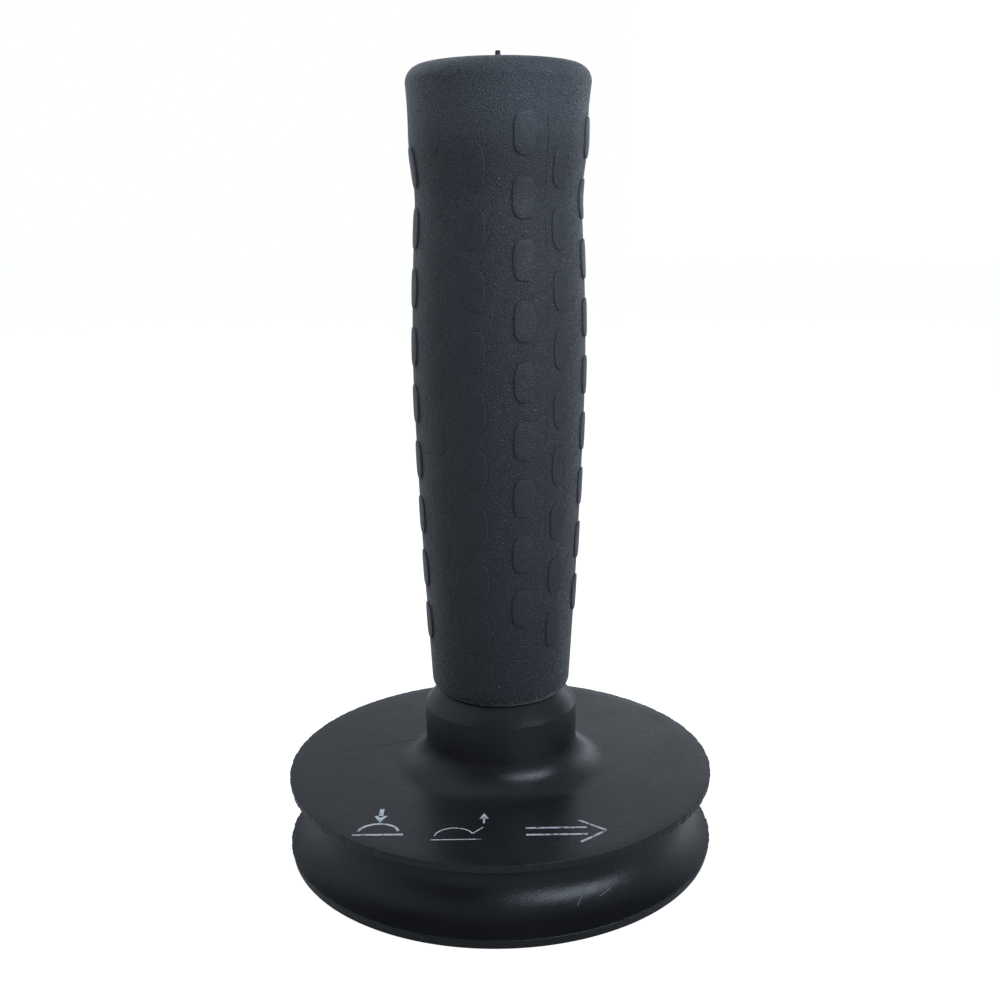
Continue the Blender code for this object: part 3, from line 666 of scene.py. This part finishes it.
def gripRadius(height):
    # with t going from 0 to 1 over each stretch, the radius swells from the lower end to the palm as
    # 1-(1-t)^1.4, falls to the waist as t^1.8, comes back to the flare as 3t^2-2t^3 and runs to the rim as t^2
    s = gripSleeve
    palm, waist, flare, rim = s["palmRadius"], s["waistRadius"], s["flareRadius"], s["rimRadius"]
    swell = 1 - np.clip(height / s["palmHeight"], 0, 1)
    fall = np.clip((height - s["palmHeight"]) / (s["waistHeight"] - s["palmHeight"]), 0, 1)
    back = np.clip((height - s["waistHeight"]) / (s["flareHeight"] - s["waistHeight"]), 0, 1)
    last = np.clip((height - s["flareHeight"]) / (s["length"] - s["topCorner"] - s["flareHeight"]), 0, 1)
    return (palm - (palm - s["endRadius"]) * swell ** 1.4 - (palm - waist) * fall ** 1.8
            + (flare - waist) * back * back * (3 - 2 * back) + (rim - flare) * last ** 2)


def makeGripSleeve():
    # the sleeve's turned outline: bore, lower end, the long swelling side, rounded rim, crown and moulding nib;
    # the crown falls with the square of the distance from the axis
    s = gripSleeve
    corner, topCorner, nib = s["endCorner"], s["topCorner"], s["nibRadius"]
    end = gripRadius(corner)
    shoulder = s["length"] - topCorner
    height = np.linspace(corner, shoulder, s["sideSteps"])[1:-1]
    side = np.stack([gripRadius(height), height], -1)
    crown = s["length"] + s["crown"]
    flat = s["rimRadius"] - topCorner
    inward = np.linspace(flat, nib + 0.5, 10)[1:]
    top = np.stack([inward, s["length"] + s["crown"] * (1 - (inward / flat) ** 2)], -1)
    outline = np.concatenate([
        rounded([(0, s["boreDepth"], 0), (s["bore"], s["boreDepth"], 0.5), (s["bore"], 0, 0.1),
                 (end - corner, 0, 0)]),
        bow(end - corner, corner, corner, corner, 272, 360, 14), side,
        bow(flat, shoulder, topCorner, topCorner, 0, 90, 14), top,
        rounded([(nib + 0.5, crown, 0), (nib, crown, 0.2), (nib * 0.9, crown + s["nibHeight"], 0.3),
                 (0, crown + s["nibHeight"], 0)])])
    outline = outline + [0, gripLow[2]]

    def leaning(angle, r, z):
        # the top is moulded a little out of true, its right side higher and further out: r grows by
        # leanOut p max(sin a, 0) and z by leanUp p sin a, where p goes from 0 to 1 up the last 4 mm below the
        # rounded rim and falls towards the axis
        near = np.clip((z - gripLow[2] - shoulder + s["leanFrom"]) / s["leanFrom"], 0, 1)
        outside = (r > s["bore"] + 0.5) * (z > gripLow[2] + 20)
        part = near * outside * np.clip(r / s["rimRadius"], 0, 1)
        return s["leanOut"] * part * np.maximum(np.sin(angle), 0), s["leanUp"] * part * np.sin(angle)
    piece = lathe("vinyl_grip", outline, vinyl, s["around"], turn=math.radians(gripPads["firstAngle"]),
                  ragged=leaning)
    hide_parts("grip_sleeve")
    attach(piece, "handle")
    return piece


def makeGripPads():
    # every pad is rings of one superellipse, |x/w|^n + |y/h|^n = 1, laid on the grip: the point (x, y) of a ring
    # that stands q high goes to the grip's own radius plus q, turned by x over that radius
    s = gripPads
    column, row = np.arange(s["columns"]), np.arange(s["rows"])
    heights = gripSleeve["length"] - s["topMargin"] - (column % 2)[:, None] * s["pitch"] / 2 - row * s["pitch"]
    kept = heights >= s["endMargin"]

    def ofKept(perColumn):
        # one value for each kept pad, shaped to spread over its rings and points
        return (np.array(perColumn)[:, None] + 0 * heights)[kept][:, None, None]
    angles = np.radians(ofKept(s["firstAngle"] + 360 / s["columns"] * column + s["columnShift"]))
    rise = ofKept(s["columnRise"]) * s["rise"]
    flush = ofKept(s["flushLeft"])
    around = 2 * np.pi * (np.arange(s["points"]) + 0.5) / s["points"]
    power = 2 / s["squareness"]
    across = np.sign(np.sin(around)) * np.abs(np.sin(around)) ** power
    along = np.sign(np.cos(around)) * np.abs(np.cos(around)) ** power
    inset, lift = np.array(s["inset"])[:, None], np.array(s["lift"])[:, None]
    x = (s["halfWidth"] - inset) * across
    y = (s["halfHeight"] - inset) * along
    # both ends close on a short line, the lower one inside the grip
    middle = np.zeros((1, s["points"]))
    x = np.concatenate([middle, x, middle])
    y = np.concatenate([y[:1] * s["closing"], y, y[-1:] * s["closing"]])
    lift = np.concatenate([lift[:1], lift, lift[-1:]])
    # a flush pad rises from its left edge to its right one
    fromLeft = np.clip((x / s["halfWidth"] + 1) / 2, 0, 1)
    stands = np.where(lift > 0, lift * (1 - flush * (1 - fromLeft) ** s["flushPower"]), lift)
    level = heights[kept][:, None, None] + y[None]
    radius = gripRadius(level) + rise * stands
    turn = angles + x[None] / radius
    points = np.stack([radius * np.sin(turn), -radius * np.cos(turn), level + gripLow[2]], -1)
    pads, rings, ringPoints = points.shape[:3]
    quads = gridFaces(rings, ringPoints)
    faces = (quads[None] + (np.arange(pads) * rings * ringPoints)[:, None, None]).reshape(-1, 4)
    piece = putMesh("grip_pads", points.reshape(-1, 3) * mm, [faces], padVinyl, 60.0)
    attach(piece, "handle")
    return piece


makeGripSleeve()
makeGripPads()
print("grip made")


# pieces inside, carried over from the CAD

def dress(name, material):
    # gives a CAD node one material
    nodes[name].data.materials.clear()
    nodes[name].data.materials.append(material)


for name in ("anchor_plate", "anchor_stud", "seat_washer", "handle_tube", "tube_bush", "bush_screw", "clamp_washer",
             "spring_washer", "clamp_nut"):
    dress(name, zinc)
dress("tube_end_plug", plugPlastic)
print("inner pieces dressed")


# camera, with lengths in mm, angles in degrees and the picture in pixels

camera = {
    "distance": 246.25, "aimHeight": 73.89, "down": 12.94, "aside": 2.0, "roll": 0.158, "focalPixels": 1201.96,
    "middleColumn": 540.96, "pictureWidth": 1000.0, "sensor": 36.0,
}


def makeCamera():
    # stands in front and a little above, looks down and slightly past the handle, as the photograph does
    s = camera
    down, aside = math.radians(s["down"]), math.radians(s["aside"])
    spot = Vector((0, -s["distance"] * math.cos(down), s["aimHeight"] + s["distance"] * math.sin(down))) * mm
    ahead = Vector((math.sin(aside) * math.cos(down), math.cos(aside) * math.cos(down), -math.sin(down)))
    right = Vector((math.cos(aside), -math.sin(aside), 0))
    up = right.cross(ahead)
    data = bpy.data.cameras.new("photo_camera")
    data.sensor_width = s["sensor"]
    data.lens = s["focalPixels"] / s["pictureWidth"] * s["sensor"]
    data.shift_x = (s["pictureWidth"] / 2 - s["middleColumn"]) / s["pictureWidth"]
    data.clip_start = 0.01
    item = bpy.data.objects.new("photo_camera", data)
    bpy.context.scene.collection.objects.link(item)
    facing = Matrix((right, up, -ahead)).transposed() @ Matrix.Rotation(math.radians(s["roll"]), 3, "Z")
    item.matrix_world = Matrix.Translation(spot) @ facing.to_4x4()
    bpy.context.scene.camera = item


makeCamera()
print("camera made")


# light and floor, with lengths in metres

studio = {
    "key": {"azimuth": 41.5, "elevation": 23.0, "distance": 0.9, "width": 0.84, "height": 0.18, "power": 4.6,
            "color": (0.75, 0.85, 1.0), "mirrored": True},
    "fill": {"azimuth": 40.0, "elevation": 64.0, "distance": 0.36, "width": 0.30, "height": 0.30, "power": 0.43,
             "color": (0.80, 0.90, 1.0), "mirrored": False},
    "edge": {"azimuth": -128.0, "elevation": 42.0, "distance": 0.36, "width": 0.20, "height": 0.20, "power": 0.66,
             "color": (0.80, 0.90, 1.0), "mirrored": False},
    "aimHeight": 0.08, "tint": (0.81, 0.905, 1.0, 1),
    "frontLevel": 0.085, "leftLevel": 0.53, "rightLevel": 0.33, "backLeftLevel": 0.52, "backRightLevel": 1.11,
    "backHighLevel": 0.32, "topLevel": 0.29,
    "sideSpan": 0.7, "frontSpan": (-0.9, -0.1), "backSpan": (0.2, 0.8), "backSplit": 0.23, "highSpan": (0.22, 0.55),
    "topSpan": (0.35, 0.9),
    "floorSize": 8.0, "floorColor": (0.43, 0.43, 0.43, 1), "floorGlow": 0.86,
}


def makeSoftBox(name, s):
    # a rectangular soft box at an azimuth, an elevation and a distance, turned to the handle's middle
    azimuth, elevation = math.radians(s["azimuth"]), math.radians(s["elevation"])
    data = bpy.data.lights.new(name, "AREA")
    data.shape = "RECTANGLE"
    data.size, data.size_y = s["width"], s["height"]
    data.energy = s["power"]
    data.color = s["color"]
    item = bpy.data.objects.new(name, data)
    bpy.context.scene.collection.objects.link(item)
    away = Vector((math.sin(azimuth) * math.cos(elevation), -math.cos(azimuth) * math.cos(elevation),
                   math.sin(elevation)))
    item.location = away * s["distance"] + Vector((0, 0, studio["aimHeight"]))
    item.visible_glossy = s["mirrored"]  # only the key box is mirrored in the rubber
    item.rotation_mode = "QUATERNION"
    item.rotation_quaternion = away.to_track_quat("Z", "Y")


def seenDirectly(tree):
    # 1 for rays straight from the camera or through glass
    rays = addNode(tree, "LightPath")
    return calc(tree, "MAXIMUM", rays.outputs["Is Camera Ray"], rays.outputs["Is Transmission Ray"])


def makeStudioWalls():
    # the world: white to the camera, and to other rays a pale wall behind, a dimmer ceiling and a dim front
    s = studio
    world = bpy.data.worlds.new("studio_walls")
    world.use_nodes = True
    bpy.context.scene.world = world
    tree = world.node_tree
    tree.nodes.clear()
    direction = addNode(tree, "TexCoord").outputs["Generated"]
    split = addNode(tree, "SeparateXYZ", Vector=direction)
    x, y, z = split.outputs["X"], split.outputs["Y"], split.outputs["Z"]
    side = ramp(tree, x, -s["sideSpan"], s["sideSpan"], s["leftLevel"], s["rightLevel"])
    front = ramp(tree, y, *s["frontSpan"], s["frontLevel"], side)
    low = ramp(tree, x, -s["backSplit"], s["backSplit"], s["backLeftLevel"], s["backRightLevel"])
    back = ramp(tree, z, *s["highSpan"], low, s["backHighLevel"])
    around = ramp(tree, y, *s["backSpan"], front, back)
    level = calc(tree, "MAXIMUM", around, ramp(tree, z, *s["topSpan"], 0.0, s["topLevel"]))
    seen = seenDirectly(tree)
    glow = addNode(tree, "Background", Color=mixColors(tree, seen, s["tint"], (1, 1, 1, 1)))
    link(tree, calc(tree, "MAXIMUM", level, seen), glow.inputs["Strength"])
    link(tree, glow.outputs[0], tree.nodes.new("ShaderNodeOutputWorld").inputs[0])


def makeFloor():
    # a wide pale floor that the camera sees as white, darker only where the handle keeps the light off
    s = studio
    half = s["floorSize"] / 2
    mesh = bpy.data.meshes.new("studio_floor")
    mesh.from_pydata([(-half, -half, 0), (half, -half, 0), (half, half, 0), (-half, half, 0)], [], [(0, 1, 2, 3)])
    item = bpy.data.objects.new("studio_floor", mesh)
    bpy.context.scene.collection.objects.link(item)
    material = bpy.data.materials.new("studio_floor")
    material.use_nodes = True
    tree = material.node_tree
    tree.nodes.clear()
    matt = addNode(tree, "BsdfDiffuse", Color=s["floorColor"])
    glow = addNode(tree, "Emission", Color=(1, 1, 1, 1))
    link(tree, calc(tree, "MULTIPLY", seenDirectly(tree), s["floorGlow"]), glow.inputs["Strength"])
    both = addNode(tree, "AddShader")
    link(tree, matt.outputs[0], both.inputs[0])
    link(tree, glow.outputs[0], both.inputs[1])
    link(tree, both.outputs[0], tree.nodes.new("ShaderNodeOutputMaterial").inputs[0])
    mesh.materials.append(material)


for box in ("key", "fill", "edge"):
    makeSoftBox(box + "_box", studio[box])
makeStudioWalls()
makeFloor()
print("studio made")
